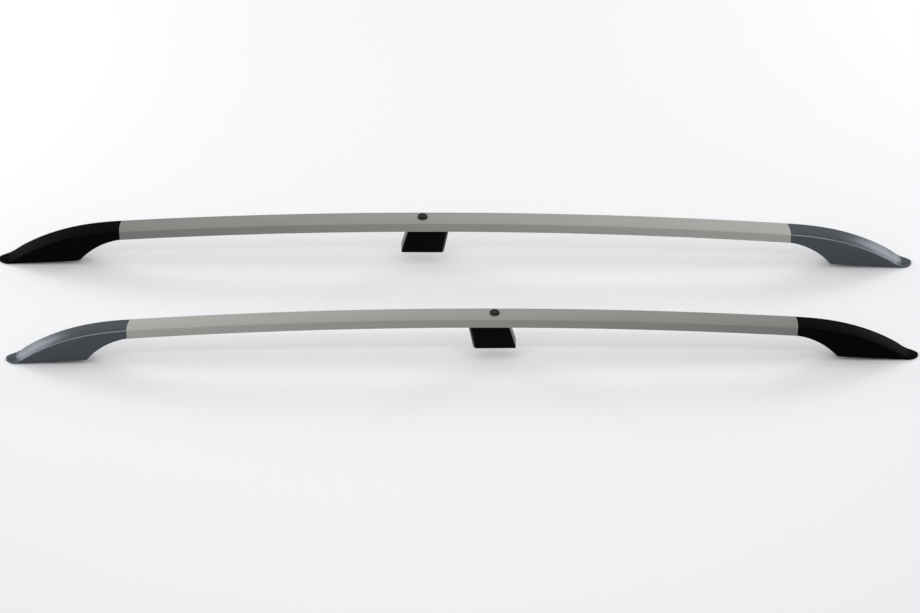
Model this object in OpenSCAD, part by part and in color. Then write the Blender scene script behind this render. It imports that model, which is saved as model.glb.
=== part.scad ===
// Roof side rail pair: two arched aluminium bars on moulded feet, one for each side of a car's roof.
// X runs along the car, Y runs across it and Z is up. The origin lies on the ground under the middle of the pair.
// The rails lie side by side as a matched left and right hand, with the outer side of both towards -Y.
// Each rail has a front foot, a rear foot and one raked foot near the middle of the bar.

/* [Pair] */
// Distance between the centre lines of the two rails
rail_spacing = 340; // [120:10:1300]
// Shift of the two rails past each other along the car
rail_stagger = 14.2; // [0:0.2:40]
// Lean of each rail in the plan, with its front end towards -Y
rail_toe = 0.42; // [0:0.02:1]

/* [Roof] */
// Height of the roof's crown above the tips of the feet
roof_rise = 34.5; // [25:0.5:45]

/* [Bar] */
// Length of bar that shows between the end feet
bar_len = 1400; // [1000:10:1600]
// Radius of the bar's arch along its outer top edge
bar_arch_r = 9900; // [9000:100:14000]
// Width of the bar's section
bar_w = 41; // [34:0.5:46]
// Height of the bar's section at its outer side
bar_h = 21.2; // [19:0.2:25]
// Wall of the extrusion
bar_wall = 2.2; // [1.6:0.1:2.6]
// Rise of the bar's top above its outer top edge
bar_crown = 1.2; // [0.6:0.1:1.8]
// Radius of the inner top edge of the bar and the feet
back_edge_r = 3; // [2.5:0.5:5]
// Radius of the two lower edges of the bar
low_edge_r = 2; // [1:0.2:3]
// Sweep of the joint line between the bar and the front foot, seen from above
front_sweep = 12.5; // [0:0.5:14]
// Sweep of the joint line between the bar and the rear foot, seen from above
rear_sweep = 8; // [0:0.5:14]

/* [End feet] */
// Length of an end foot from the joint to its tip
foot_len = 250; // [230:5:280]
// Wall of the moulded feet
foot_wall = 2.4; // [2:0.1:2.6]
// Radius of the arch under the neck of the foot
arch_r = 127; // [118:1:140]
// Angle at which the arch leaves the bar
arch_start = 10.7; // [7:0.1:12]
// Length of the nose's rounding on the outer side, seen from above
nose_len = 22; // [16:1:30]
// Length of the nose's rounding on the inner side
inner_nose_len = 40; // [30:1:44]
// Stretch before the tip over which the top edge eases
ease_len = 33; // [26:1:40]
// Slope of the top edge at the very tip
tip_slope = 0.05; // [0:0.05:0.2]
// How much more the top edge bends towards the tip than at the joint
late_bend = 0.8; // [0:0.1:1.2]
// Height of the blunt tip
tip_h = 4.3; // [3.5:0.1:6]
// Width lost on each side between the neck and the nose
foot_taper = 2.2; // [0:0.2:3]
// Rise of the rolled top above the outer crease, at its fullest
roll_h = 3.2; // [1.5:0.1:4]
// Depth of the dish in the foot's outer side
side_dish = 0.7; // [0:0.1:1.2]

/* [Middle foot] */
// Height of the middle foot
mid_h = 55; // [44:1:64]
// Length of the middle foot along the bar at its top
mid_top_len = 85; // [76:1:100]
// Length of the middle foot at its sole
mid_sole_len = 89; // [78:1:104]
// Width of the middle foot across the bar
mid_w = 36; // [33:0.5:38]
// Shift of the sole towards the rear foot, which rakes the middle foot
mid_rake = 12.4; // [4:0.2:16]
// Distance of the bolt behind the middle of the bar
mid_offset = 68; // [0:1:120]
// Radius of the upright edges of the middle foot that face the front foot
mid_edge_r = 6; // [4:0.5:8]
// Radius of the upright edges of the middle foot that face the rear foot
mid_rear_edge_r = 3; // [1.5:0.5:6]
// Depth of the panel in the outer face of the middle foot
mid_panel_depth = 0.8; // [0.4:0.1:1.2]
// Frame left at the two sides of that panel
mid_panel_frame = 8; // [6:1:12]
// Frame left above and below that panel
mid_panel_band = 5; // [4:0.5:8]

/* [Bracket] */
// Length of the tongue that reaches into the bar
tongue_len = 60; // [50:1:90]
// Thickness of the bracket's base plate
base_t = 3; // [2.5:0.5:4]
// Thickness of the bracket's two cheeks
cheek_t = 3; // [2:0.5:4]
// Clear width between the cheeks
cheek_gap = 20; // [18:1:21]
// Gap between the bracket and the walls round it
fit_gap = 0.3; // [0.2:0.05:0.5]
// Thickness of the rubber gaskets, flush in the soles
gasket_t = 2.5; // [2.4:0.1:3.5]

/* [Fasteners] */
// Tapping radius of the roof threads, for an M8 stud
roof_thread_r = 3.4; // [3.3:0.05:3.5]
// Height of a weld nut above the base plate
nut_h = 8; // [6:0.5:10]
// Radius of a weld nut
nut_r = 7.5; // [7:0.25:8.5]
// Place of the inner roof thread, as a share of the sole from the heel
inner_thread_at = 0.28; // [0.26:0.01:0.32]
// Place of the outer roof thread, as a share of the sole from the heel
outer_thread_at = 0.65; // [0.6:0.01:0.66]
// Radius of the screws that hold the bar on the tongue
tongue_screw_r = 2.5; // [2:0.25:3]
// Radius of the screws that hold the moulded foot on its bracket
foot_screw_r = 2.4; // [2:0.1:2.5]
// Distance of the middle bolt from the bar's centre line, towards the inner side
bolt_inset = 2.5; // [0:0.5:3]
// Radius of the middle bolt's shank
bolt_r = 4; // [3.5:0.25:4.5]
// Radius of the middle bolt's head
bolt_head_r = 10.5; // [9.5:0.1:12]
// Height of the middle bolt's head
bolt_head_h = 4; // [3:0.25:5]
// Thickness of the seal under the middle bolt's head
seal_t = 0.8; // [0.6:0.1:1.2]
// Length of the sleeve nut in the middle foot
sleeve_nut_len = 30; // [24:1:34]

/* [Hidden] */
SIDES = ["right", "left"];
PIECES = [
    "bar",
    "front_foot", "front_bracket", "front_gasket", "front_weld_nuts", "front_foot_screws", "front_bar_screws",
    "rear_foot", "rear_bracket", "rear_gasket", "rear_weld_nuts", "rear_foot_screws", "rear_bar_screws",
    "mid_foot", "mid_gasket", "mid_bolt", "mid_seal", "mid_spacer", "mid_sleeve_nut"
];

$fn = 48;
// Facets that a whole turn at the bar's arch would have
arch_fn = 1440;
// Overrun of a cut past the faces that it opens
cut = 1;

bar_half = bar_len / 2;
half_w = bar_w / 2;
tip_x = bar_half + foot_len;
roof_r = (tip_x * tip_x + roof_rise * roof_rise) / (2 * roof_rise);
mid_sole_z = roof_rise;

// The bar's outer top edge is an arc in the XZ plane, whose centre lies far below the roof
edge_z = roof_rise + mid_h + bar_h;
arch_centre_z = edge_z - bar_arch_r;
joint_angle = asin(bar_half / bar_arch_r);
joint_z = arch_centre_z + bar_arch_r * cos(joint_angle);
joint_slope = tan(joint_angle);

// The sole of an end foot is flat, and leans as the roof does under the foot's middle
arch_c_u = -arch_r * sin(arch_start);
arch_c_drop = bar_h + arch_r * cos(arch_start);
sole_tilt = asin((tip_x - foot_len / 3) / roof_r);
sole_slope = tan(sole_tilt);
function sole_z(u) = (foot_len - u) * sole_slope;
function above_sole(u, h) = sole_z(u) + h / cos(sole_tilt);

// Point where a circle round the arch's centre meets a line that lies "down" below the sole
function arch_reach(r, down, n = 6) =
    n == 0 ? arch_c_u + r * 0.8
    : let (u = arch_reach(r, down, n - 1), d = joint_z - sole_z(u) + down)
      arch_c_u + sqrt(max(1, r * r - pow(arch_c_drop - d, 2)));
heel_u = arch_reach(arch_r, 0);

// The crease of an end foot runs on from the bar's edge, bends more and more, and eases at the tip
ease_u = foot_len - ease_len;
tip_drop = joint_z - tip_h;
crease_k = (tip_drop - joint_slope * (ease_u + ease_len / 4) - 0.75 * tip_slope * ease_len)
    / (ease_u * ease_u * (1 + late_bend * ease_u / foot_len)
       + (2 * ease_u + 3 * late_bend * ease_u * ease_u / foot_len) * ease_len / 4);
ease_slope = joint_slope + crease_k * (2 * ease_u + 3 * late_bend * ease_u * ease_u / foot_len);
function bent_drop(u) = joint_slope * u + crease_k * u * u * (1 + late_bend * u / foot_len);
function crease_drop(u) =
    u < 0 ? joint_slope * u + u * u / (2 * bar_arch_r)
    : u < ease_u ? bent_drop(u)
    : let (s = u - ease_u)
      bent_drop(ease_u) + tip_slope * s
      + (ease_slope - tip_slope) * ease_len / 4 * (1 - pow(1 - s / ease_len, 4));
function crease_z(u) = joint_z - crease_drop(u);

// The underside is the bar's own at the joint, then the arch, and then the flat sole
function arch_z(u, r) = joint_z - arch_c_drop + sqrt(max(0, r * r - pow(u - arch_c_u, 2)));
function belly_z(u) = u < 0 ? crease_z(u) - bar_h : u < heel_u ? arch_z(u, arch_r) : sole_z(u);

// Half the width of an end foot, with each half of the nose as a quarter of an ellipse seen from above
nose_u = foot_len - nose_len;
function flank(u) = half_w - foot_taper * pow(max(0, min(1, u / nose_u)), 2);
function nose(u, len) = let (t = 1 - (foot_len - u) / len) t < 0 ? 1 : sqrt(max(0, 1 - t * t));

// The rolled top is lowest at the bar, fullest before the nose, and falls with the nose
function roll(u) =
    let (t = max(0, min(1, u / nose_u)))
    (bar_crown + (roll_h - bar_crown) * t * t * (3 - 2 * t)) * (0.2 + 0.8 * pow(nose(u, inner_nose_len), 2));
function crown(q) = q < 0 ? sin(90 * (1 + q)) : 1 - 0.25 * q * q;

// Section of the bar and the feet as [y, z] points, from the inner lower edge over the top to the outer lower edge
top_steps = 7;
crease_r = 0.8;
function section(w, top, low, rise, back_r, low_r, dish) =
    let (
        shoulder = top + rise * crown((w - back_r) / w),
        from_y = w - back_r,
        to_y = -w + crease_r
    )
    concat(
        [[w - low_r, low], [w - 0.3 * low_r, low + 0.3 * low_r], [w, low + low_r]],
        [for (a = [0:30:90]) [w - back_r + back_r * cos(a), shoulder - back_r + back_r * sin(a)]],
        [for (i = [1:top_steps])
            let (y = from_y + (to_y - from_y) * i / top_steps)
            [y, top + rise * crown(y / w)]],
        [[-w, top - crease_r], [-w + dish, (top + low) / 2]],
        [[-w, low + low_r], [-w + 0.3 * low_r, low + 0.3 * low_r], [-w + low_r, low]]
    );

// Section of the hollow in the bar and the feet, from the inner lower edge to the outer lower edge
core_r = 1.5;
function core_section(w, top, low, rise) =
    concat(
        [[w, low], [w, top - core_r], [w - core_r, top]],
        [for (q = [0.5, 0, -0.5]) [q * w, top + rise * crown(q) - rise * crown(-0.95)]],
        [[-w + core_r, top], [-w, top - core_r], [-w, low]]
    );

// Solid through a list of closed rings with the same number of points
module loft(rings) {
    n = len(rings[0]);
    last = len(rings) - 1;
    points = [for (ring = rings) each ring];
    walls = [for (i = [0:last - 1]) for (j = [0:n - 1])
        let (a = i * n + j, b = i * n + (j + 1) % n, c = a + n, d = b + n)
        each [[a, c, b], [b, c, d]]];
    first_cap = [for (j = [0:n - 1]) j];
    last_cap = [for (j = [n - 1:-1:0]) last * n + j];
    polyhedron(points = points, faces = concat([first_cap], walls, [last_cap]), convexity = 8);
}

// Places a piece of the rail called side: the left rail is the mirror image of the right one
module rail_place(side) {
    translate([0, side == "right" ? rail_spacing / 2 : -rail_spacing / 2, 0])
        mirror([side == "left" ? 1 : 0, 0, 0])
            translate([-rail_stagger / 2, 0, 0])
                rotate([0, 0, -rail_toe])
                    children();
}

// Places an end piece, made for the front end, at the front or rear of its rail
module end_place(end) {
    mirror([end == "rear" ? 1 : 0, 0, 0])
        translate([bar_half, 0, 0])
            children();
}

// Turns the bar's tangent at the joint level, about the outer top edge
module joint_place() {
    translate([0, 0, joint_z])
        rotate([0, joint_angle, 0])
            children();
}

// Lays a piece on the sole of an end foot: x runs from the tip back to the heel, z is the height above the sole
module sole_place() {
    translate([foot_len, 0, 0])
        rotate([0, sole_tilt, 0])
            mirror([1, 0, 0])
                children();
}

// Distance of a place u along the foot, measured on the sole from the tip
function on_sole(u) = (foot_len - u) / cos(sole_tilt);

// Sweep of the joint plane at one end, seen from above
function joint_sweep(end) = end == "front" ? front_sweep : rear_sweep;
// Everything beyond the swept joint plane, on the foot's side
module beyond_joint(end) {
    joint_place()
        translate([0, -half_w, 0])
            rotate([0, 0, joint_sweep(end)])
                translate([0, -bar_w, -2 * bar_w])
                    cube([4 * bar_w, 3 * bar_w, 4 * bar_w]);
}

// The bar: an arched extrusion

bar_screw_at = [18, 44];
screw_head_r = 5;
screw_head_h = 2.6;
bar_hole_gap = 0.3;

module bar_profile() {
    core_w = half_w - bar_wall;
    difference() {
        polygon([for (p = section(half_w, 0, -bar_h, bar_crown, back_edge_r, low_edge_r, 0))
            [bar_arch_r + p[1], p[0]]]);
        polygon([for (p = core_section(core_w, -bar_wall, -bar_h + bar_wall, bar_crown))
            [bar_arch_r + p[1], p[0]]]);
    }
}

// The profile's x is the distance from the arch's centre, so the sweep about Z is laid over to turn about Y
module bar_sweep() {
    spare = 0.15;
    sweep = 2 * (joint_angle + spare);
    translate([0, 0, arch_centre_z])
        rotate([90, 0, 0])
            rotate([0, 0, 90 - sweep / 2])
                rotate_extrude(angle = sweep, $fn = arch_fn)
                    mirror([0, 1, 0])
                        bar_profile();
}

// Axis of a bar screw, at a distance back from the joint along the arch, with z = 0 on the bar's underside
module bar_screw_place(back) {
    translate([-bar_half, 0, arch_centre_z])
        rotate([0, asin((bar_half - back) / bar_arch_r), 0])
            translate([0, 0, bar_arch_r - bar_h])
                children();
}

module bar() {
    color([0.63, 0.63, 0.61])
        difference() {
            bar_sweep();
            for (end = ["front", "rear"])
                end_place(end) {
                    beyond_joint(end);
                    for (back = bar_screw_at)
                        bar_screw_place(back)
                            translate([0, 0, -cut])
                                cylinder(r = tongue_screw_r + bar_hole_gap, h = bar_wall + 2 * cut);
                }
            translate([-mid_offset, bolt_inset, edge_z - bar_h - cut])
                cylinder(r = bolt_r + bar_hole_gap, h = bar_h + 3 * cut);
            translate([-mid_offset, bolt_inset, seat_z])
                cylinder(r = seal_r + bar_hole_gap, h = 3 * cut);
        }
}

// End foot: a moulded shell, open at the sole, with screw bosses inside

outer_neck_steps = 6;
outer_body_steps = 6;
outer_nose_steps = 8;
nose_end = 85;
boss_r = 5.5;
boss_bore_gap = 0.1;
screw_grip = 9;
core_below = 4;
rib_t = 2;

// Roof threads and foot screws, as places along the foot
hollow_u = foot_len - 34;
sole_run = hollow_u - heel_u;
roof_thread_at = [heel_u + inner_thread_at * sole_run, heel_u + outer_thread_at * sole_run];
foot_screw_at = [heel_u + 0.12 * sole_run, heel_u + 0.81 * sole_run];
plate_from = heel_u + 0.05 * sole_run;
cheek_to = heel_u + 0.74 * sole_run;

// One ring of the outer skin. The rings at the neck lean over until the first lies in the joint plane.
function foot_ring(u, sweep) =
    let (
        lean = max(0, 1 - u / heel_u),
        outer = nose(u, nose_len),
        inner = nose(u, inner_nose_len),
        low_r = u < heel_u ? low_edge_r + (0.8 - low_edge_r) * u / heel_u : 0.8 * (0.3 + 0.7 * inner),
        w = flank(u) * (outer + inner) / 2,
        centre_y = flank(u) * (inner - outer) / 2,
        top = crease_z(u),
        low = belly_z(u),
        back_r = min(back_edge_r, 0.45 * w, 0.45 * (top - low)),
        dish = side_dish * sin(180 * max(0, min(1, u / nose_u)))
    )
    [for (p = section(w, top, low, roll(u), back_r, min(low_r, 0.3 * w), dish))
        let (
            shift = -lean * ((p[0] + w) * tan(sweep) / cos(joint_angle) + (top - p[1]) * joint_slope),
            share = (p[1] - low) / (top - low),
            lift = share * (crease_z(u + shift) - top) + (1 - share) * (belly_z(u + shift) - low)
        )
            [u + shift + lean * lift * joint_slope, p[0] + centre_y, p[1] + lift]];

outer_stations = concat(
    [for (i = [0:outer_neck_steps]) heel_u * i / outer_neck_steps],
    [for (i = [1:outer_body_steps]) heel_u + (ease_u - heel_u) * i / outer_body_steps],
    [for (i = [1:outer_nose_steps]) ease_u + ease_len * sin(nose_end * i / outer_nose_steps)]
);

// One ring of the hollow, which runs out below the sole
function core_low(u) =
    u < 0 ? crease_z(u) - bar_h + foot_wall
    : max(arch_z(u, arch_r + foot_wall), sole_z(u) - core_below);
function core_ring(u) =
    [for (p = core_section(flank(u) - foot_wall, crease_z(u) - foot_wall, core_low(u), roll(u)))
        [u, p[0], p[1]]];
core_heel_u = arch_reach(arch_r + foot_wall, core_below);
core_end_u = hollow_u + 2;
core_start_u = -14;
core_stations = concat(
    [core_start_u],
    [for (i = [0:4]) core_heel_u * i / 4],
    [for (i = [1:5]) core_heel_u + (core_end_u - core_heel_u) * i / 5]
);

base_z = gasket_t + base_t;

module foot_bosses(r, h) {
    for (u = foot_screw_at)
        sole_place()
            translate([on_sole(u), 0, base_z])
                cylinder(r = r, h = h);
}

module end_foot(end) {
    color(end == "front" ? [0.30, 0.32, 0.34] : [0.05, 0.05, 0.05])
    difference() {
        loft([for (u = outer_stations) foot_ring(u, joint_sweep(end))]);
        difference() {
            loft([for (u = core_stations) core_ring(u)]);
            foot_bosses(boss_r, foot_len / 3);
            translate([hollow_u - rib_t, -half_w, -cut])
                cube([rib_t, bar_w, bar_w]);
        }
        foot_bosses(foot_screw_r + boss_bore_gap, screw_grip + cut);
    }
}

// Bracket: a base plate on the gasket, two cheeks up into the neck and a tongue in the bar

cheek_w = cheek_gap + 2 * cheek_t;
plate_w = cheek_w + 2;
neck_run = 12;

// Side view of a cheek, held clear of the moulding's top and arch
module cheek_outline() {
    below_crease = foot_wall + 2 * fit_gap;
    cheek_toe = cheek_to + 0.06 * sole_run;
    top_points = [for (i = [0:10]) let (u = cheek_to * i / 10) [u, crease_z(u) - below_crease]];
    difference() {
        polygon(concat(
            top_points,
            [[cheek_toe, above_sole(cheek_toe, gasket_t + 0.8 * base_t)],
             [cheek_toe, above_sole(cheek_toe, gasket_t + base_t / 2)],
             [0, above_sole(0, gasket_t + base_t / 2)]]
        ));
        translate([arch_c_u, joint_z - arch_c_drop])
            circle(r = arch_r + foot_wall + fit_gap, $fn = 180);
    }
}

// Tongue: the neck's hollow less the fit gap, run straight along the bar's tangent
module tongue() {
    inset = max(bar_wall, foot_wall) + fit_gap;
    joint_place()
        translate([-tongue_len, 0, 0])
            rotate([90, 0, 90])
                linear_extrude(height = tongue_len + neck_run)
                    polygon(core_section(half_w - inset, -inset, -bar_h + inset, 0));
}

module base_plate() {
    sole_place()
        translate([0, 0, gasket_t]) {
            translate([on_sole(foot_screw_at[1]), -plate_w / 2, 0])
                cube([on_sole(plate_from) - on_sole(foot_screw_at[1]), plate_w, base_t]);
            translate([on_sole(foot_screw_at[1]), 0, 0])
                cylinder(r = plate_w / 2, h = base_t);
        }
}

module end_bracket() {
    color([0.55, 0.56, 0.58])
    difference() {
        union() {
            for (y = [-cheek_w / 2, cheek_gap / 2])
                translate([0, y + cheek_t, 0])
                    rotate([90, 0, 0])
                        linear_extrude(height = cheek_t)
                            cheek_outline();
            base_plate();
            tongue();
        }
        for (back = bar_screw_at)
            bar_screw_place(back)
                cylinder(r = tongue_screw_r + boss_bore_gap, h = bar_h);
        for (u = roof_thread_at)
            sole_place()
                translate([on_sole(u), 0, gasket_t - cut])
                    cylinder(r = nut_collar_r + boss_bore_gap, h = base_t + 2 * cut);
        for (u = foot_screw_at)
            sole_place()
                translate([on_sole(u), 0, gasket_t - cut])
                    cylinder(r = foot_screw_r + bar_hole_gap, h = base_t + 2 * cut);
    }
}

// Gasket: fills the foot's opening, flush with the sole

module end_gasket() {
    gasket_from = arch_reach(arch_r + foot_wall, 0) + fit_gap;
    gasket_to = hollow_u - rib_t - fit_gap;
    edge = [for (i = [0:8]) let (u = gasket_from + (gasket_to - gasket_from) * i / 8)
        [on_sole(u), flank(u) - foot_wall - fit_gap]];
    color([0.09, 0.09, 0.09])
    sole_place()
        difference() {
            linear_extrude(height = gasket_t)
                polygon(concat(edge, [for (i = [8:-1:0]) [edge[i][0], -edge[i][1]]]));
            for (u = roof_thread_at)
                translate([on_sole(u), 0, -cut])
                    cylinder(r = roof_thread_r + 2.2, h = gasket_t + 2 * cut);
            for (u = foot_screw_at)
                translate([on_sole(u), 0, -cut])
                    cylinder(r = screw_head_r + fit_gap, h = gasket_t + 2 * cut);
        }
}

// Weld nuts: a body on the base plate and a collar through it, both threaded

nut_collar_r = 5.2;

module weld_nuts() {
    color([0.66, 0.66, 0.64])
    for (u = roof_thread_at)
        sole_place()
            translate([on_sole(u), 0, gasket_t])
                difference() {
                    union() {
                        cylinder(r = nut_collar_r, h = base_t + nut_h);
                        translate([0, 0, base_t])
                            cylinder(r = nut_r, h = nut_h);
                    }
                    translate([0, 0, -cut])
                        cylinder(r = roof_thread_r, h = base_t + nut_h + 2 * cut);
                }
}

// Pan head screw, with its head below z = 0 and its shank above
module pan_screw(r, length, head_r, head_h) {
    socket_r = 0.45 * head_r;
    difference() {
        union() {
            translate([0, 0, -0.001])
                cylinder(r = r, h = length);
            translate([0, 0, -head_h])
                cylinder(r1 = 0.75 * head_r, r2 = head_r, h = head_h / 2);
            translate([0, 0, -head_h / 2])
                cylinder(r = head_r, h = head_h / 2);
        }
        translate([0, 0, -head_h - cut])
            cylinder(r = socket_r, h = cut + head_h / 2, $fn = 6);
    }
}

module foot_screws() {
    head_h = gasket_t - 0.2;
    color([0.66, 0.66, 0.64])
    for (u = foot_screw_at)
        sole_place()
            translate([on_sole(u), 0, gasket_t])
                pan_screw(foot_screw_r, base_t + screw_grip, screw_head_r, head_h);
}

module bar_screws() {
    color([0.66, 0.66, 0.64])
    for (back = bar_screw_at)
        bar_screw_place(back)
            pan_screw(tongue_screw_r, bar_h - 2 * bar_wall - fit_gap, screw_head_r, screw_head_h);
}

// Middle foot: a raked, hollow moulding whose top follows the bar

mid_top_z = edge_z - bar_h;
mid_wall = 3;
column_r = 11;
hex_r = 7.5;
mid_low_edge = 2;
mid_rib_x = 24;
mid_rib_t = 2;

// Length and centre of the middle foot at a height above its sole: the bolt stands over the sole's centre
function mid_len(z) = mid_sole_len + (mid_top_len - mid_sole_len) * z / mid_h;
function mid_shift(z) = mid_rake * z / mid_h;

// Lift of the middle foot's level z at x along the foot, so that its top is a chord of the bar's arch
mid_top_x = mid_rake - mid_offset;
mid_top_slope = tan(asin(-mid_top_x / bar_arch_r));
mid_top_drop = (mid_top_x * mid_top_x + mid_top_len * mid_top_len / 4) / (2 * bar_arch_r);
function mid_lift(x, z) = z / mid_h * (mid_top_slope * (x - mid_rake) - mid_top_drop);

// Level outline of the middle foot at a height above its sole, held in by inset, with round upright edges
function mid_corner_r(corner, inset) = max(0.4, (corner == 0 || corner == 3 ? mid_edge_r : mid_rear_edge_r) - inset);
function mid_ring(z, inset) =
    [for (corner = [0:3]) for (a = [0:18:90])
        let (
            turn = 90 * corner + a,
            edge_r = mid_corner_r(corner, inset),
            x = mid_len(z) / 2 - edge_r - inset,
            y = mid_w / 2 - edge_r - inset,
            at_x = mid_shift(z) + (corner == 0 || corner == 3 ? x : -x) + edge_r * cos(turn),
            at_y = (corner < 2 ? y : -y) + edge_r * sin(turn)
        )
        [at_x, at_y, z + mid_lift(at_x, max(0, z))]];

module mid_shell_outside() {
    low = mid_low_edge;
    loft(concat(
        [for (a = [0:30:90]) mid_ring(low * (1 - cos(a)), low * (1 - sin(a)))],
        [mid_ring(mid_h, 0)]
    ));
}

module mid_core() {
    loft([for (z = [-cut, mid_h - mid_wall]) mid_ring(z, mid_wall)]);
}

module mid_panel_outline() {
    low = mid_panel_band;
    high = mid_h - mid_panel_band;
    side = mid_panel_frame;
    polygon([
        [mid_shift(low) - mid_len(low) / 2 + side, low],
        [mid_shift(low) + mid_len(low) / 2 - side, low],
        [mid_shift(high) + mid_len(high) / 2 - side, high],
        [mid_shift(high) - mid_len(high) / 2 + side, high]
    ]);
}

// The middle foot's frame: the bolt's axis at the level of the sole
module mid_place() {
    translate([-mid_offset, 0, mid_sole_z])
        children();
}

module mid_foot() {
    color([0.05, 0.05, 0.06])
    mid_place()
        difference() {
            mid_shell_outside();
            difference() {
                mid_core();
                translate([0, bolt_inset, 0])
                    cylinder(r = column_r, h = mid_h);
                for (x = [-mid_rib_x, mid_rib_x])
                    translate([x - mid_rib_t / 2, -mid_w / 2, gasket_t])
                        cube([mid_rib_t, mid_w, mid_h]);
            }
            translate([0, -mid_w / 2 + mid_panel_depth, 0])
                rotate([90, 0, 0])
                    linear_extrude(height = mid_w)
                        mid_panel_outline();
            translate([0, bolt_inset, -cut])
                cylinder(r = hex_r + fit_gap, h = gasket_t + sleeve_nut_len + cut, $fn = 6);
            translate([0, bolt_inset, 0])
                cylinder(r = bolt_r + bar_hole_gap, h = mid_h + cut);
        }
}

module mid_gasket() {
    color([0.09, 0.09, 0.09])
    mid_place()
        difference() {
            loft([for (z = [0, gasket_t]) mid_ring(z, mid_wall + fit_gap)]);
            translate([0, bolt_inset, -cut])
                cylinder(r = column_r + fit_gap, h = gasket_t + 2 * cut);
        }
}

// Sleeve nut: the bolt enters it from above, and its lower thread takes the roof stud

thread_len = 15;

module mid_sleeve_nut() {
    color([0.66, 0.66, 0.64])
    mid_place()
        translate([0, bolt_inset, gasket_t])
            difference() {
                cylinder(r = hex_r, h = sleeve_nut_len, $fn = 6);
                translate([0, 0, -cut])
                    cylinder(r = roof_thread_r, h = sleeve_nut_len);
                translate([0, 0, thread_len])
                    cylinder(r = bolt_r + boss_bore_gap, h = sleeve_nut_len);
            }
}

// Middle bolt, its seal on the bar's top, and the spacer that keeps the bar from being crushed

seal_r = 9.5;
bar_top_z = arch_centre_z + sqrt(pow(bar_arch_r, 2) - pow(mid_offset, 2)) + bar_crown;
seat_z = bar_top_z - 0.5;

module mid_seal() {
    color([0.09, 0.09, 0.09])
    translate([-mid_offset, bolt_inset, seat_z])
        difference() {
            cylinder(r = seal_r, h = seal_t);
            translate([0, 0, -cut])
                cylinder(r = bolt_r + boss_bore_gap, h = seal_t + 2 * cut);
        }
}

// Half the outline of the bolt's domed head, with a shallow dished centre
function head_outline() =
    let (rim = 0.3 * bolt_head_h, cap_r = 0.58 * bolt_head_r, dish = 0.15 * bolt_head_h)
    concat(
        [[0, 0], [bolt_head_r - 0.6, 0], [bolt_head_r, 0.4], [bolt_head_r, rim]],
        [for (a = [15:15:60])
            [cap_r + (bolt_head_r - cap_r) * cos(a), rim + (bolt_head_h - rim) * sin(a)]],
        [[cap_r, bolt_head_h], [cap_r - 0.8, bolt_head_h - dish], [0, bolt_head_h - dish]]
    );

module mid_bolt() {
    bottom = mid_sole_z + gasket_t + thread_len + 1;
    color([0.07, 0.07, 0.07])
    translate([-mid_offset, bolt_inset, 0])
        union() {
            translate([0, 0, seat_z + seal_t])
                rotate_extrude()
                    polygon(head_outline());
            translate([0, 0, bottom])
                cylinder(r = bolt_r, h = seat_z + seal_t - bottom + 0.5);
        }
}

module mid_spacer() {
    low = mid_top_z - (edge_z - bar_top_z + bar_crown) + bar_wall;
    high = bar_top_z - bar_crown / 2 - bar_wall;
    color([0.66, 0.66, 0.64])
    translate([-mid_offset, bolt_inset, low + fit_gap / 2])
        difference() {
            cylinder(r = 7, h = high - low - fit_gap);
            translate([0, 0, -cut])
                cylinder(r = bolt_r + bar_hole_gap, h = high - low + 2 * cut);
        }
}

module end_piece(end, kind) {
    end_place(end) {
        if (kind == "foot") end_foot(end);
        if (kind == "bracket") end_bracket();
        if (kind == "gasket") end_gasket();
        if (kind == "weld_nuts") weld_nuts();
        if (kind == "foot_screws") foot_screws();
        if (kind == "bar_screws") bar_screws();
    }
}

module piece(name) {
    for (end = ["front", "rear"])
        for (kind = ["foot", "bracket", "gasket", "weld_nuts", "foot_screws", "bar_screws"])
            if (name == str(end, "_", kind)) end_piece(end, kind);
    if (name == "bar") bar();
    if (name == "mid_foot") mid_foot();
    if (name == "mid_gasket") mid_gasket();
    if (name == "mid_bolt") mid_bolt();
    if (name == "mid_seal") mid_seal();
    if (name == "mid_spacer") mid_spacer();
    if (name == "mid_sleeve_nut") mid_sleeve_nut();
}

for (side = SIDES) for (name = PIECES)
    rail_place(side) piece(name);
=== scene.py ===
"""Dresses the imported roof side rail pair: two arched aluminium bars on moulded feet.

Lengths in the sizes are millimetres, as in the part's source, and every mesh is finished in metres in the
row's own frame: +X along the rails, +Y across the car and +Z up.
"""

from __future__ import annotations

import logging
import math
from dataclasses import dataclass, field, replace
from enum import Enum
from typing import Iterable, Sequence

import bmesh
import bpy
from bmesh.types import BMEdge, BMFace, BMVert
from bpy.types import NodeLinks, Nodes, NodeSocket
from mathutils import Matrix, Vector

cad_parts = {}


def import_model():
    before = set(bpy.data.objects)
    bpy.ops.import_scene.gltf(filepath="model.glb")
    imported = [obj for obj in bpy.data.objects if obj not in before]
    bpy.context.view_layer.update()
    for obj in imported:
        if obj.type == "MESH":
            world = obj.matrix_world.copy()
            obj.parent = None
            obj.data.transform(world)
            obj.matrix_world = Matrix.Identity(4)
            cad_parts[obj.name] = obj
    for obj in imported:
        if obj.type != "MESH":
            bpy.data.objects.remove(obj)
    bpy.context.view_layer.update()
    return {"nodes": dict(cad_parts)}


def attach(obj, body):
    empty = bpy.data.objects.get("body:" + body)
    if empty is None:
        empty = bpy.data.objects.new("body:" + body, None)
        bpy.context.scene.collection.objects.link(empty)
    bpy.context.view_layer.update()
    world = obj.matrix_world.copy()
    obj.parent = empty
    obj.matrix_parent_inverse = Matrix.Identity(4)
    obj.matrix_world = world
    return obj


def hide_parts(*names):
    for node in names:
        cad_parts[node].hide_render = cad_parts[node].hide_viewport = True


LOG = logging.getLogger("roof_rails")
MM = 0.001
Colour = tuple[float, float, float]


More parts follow.
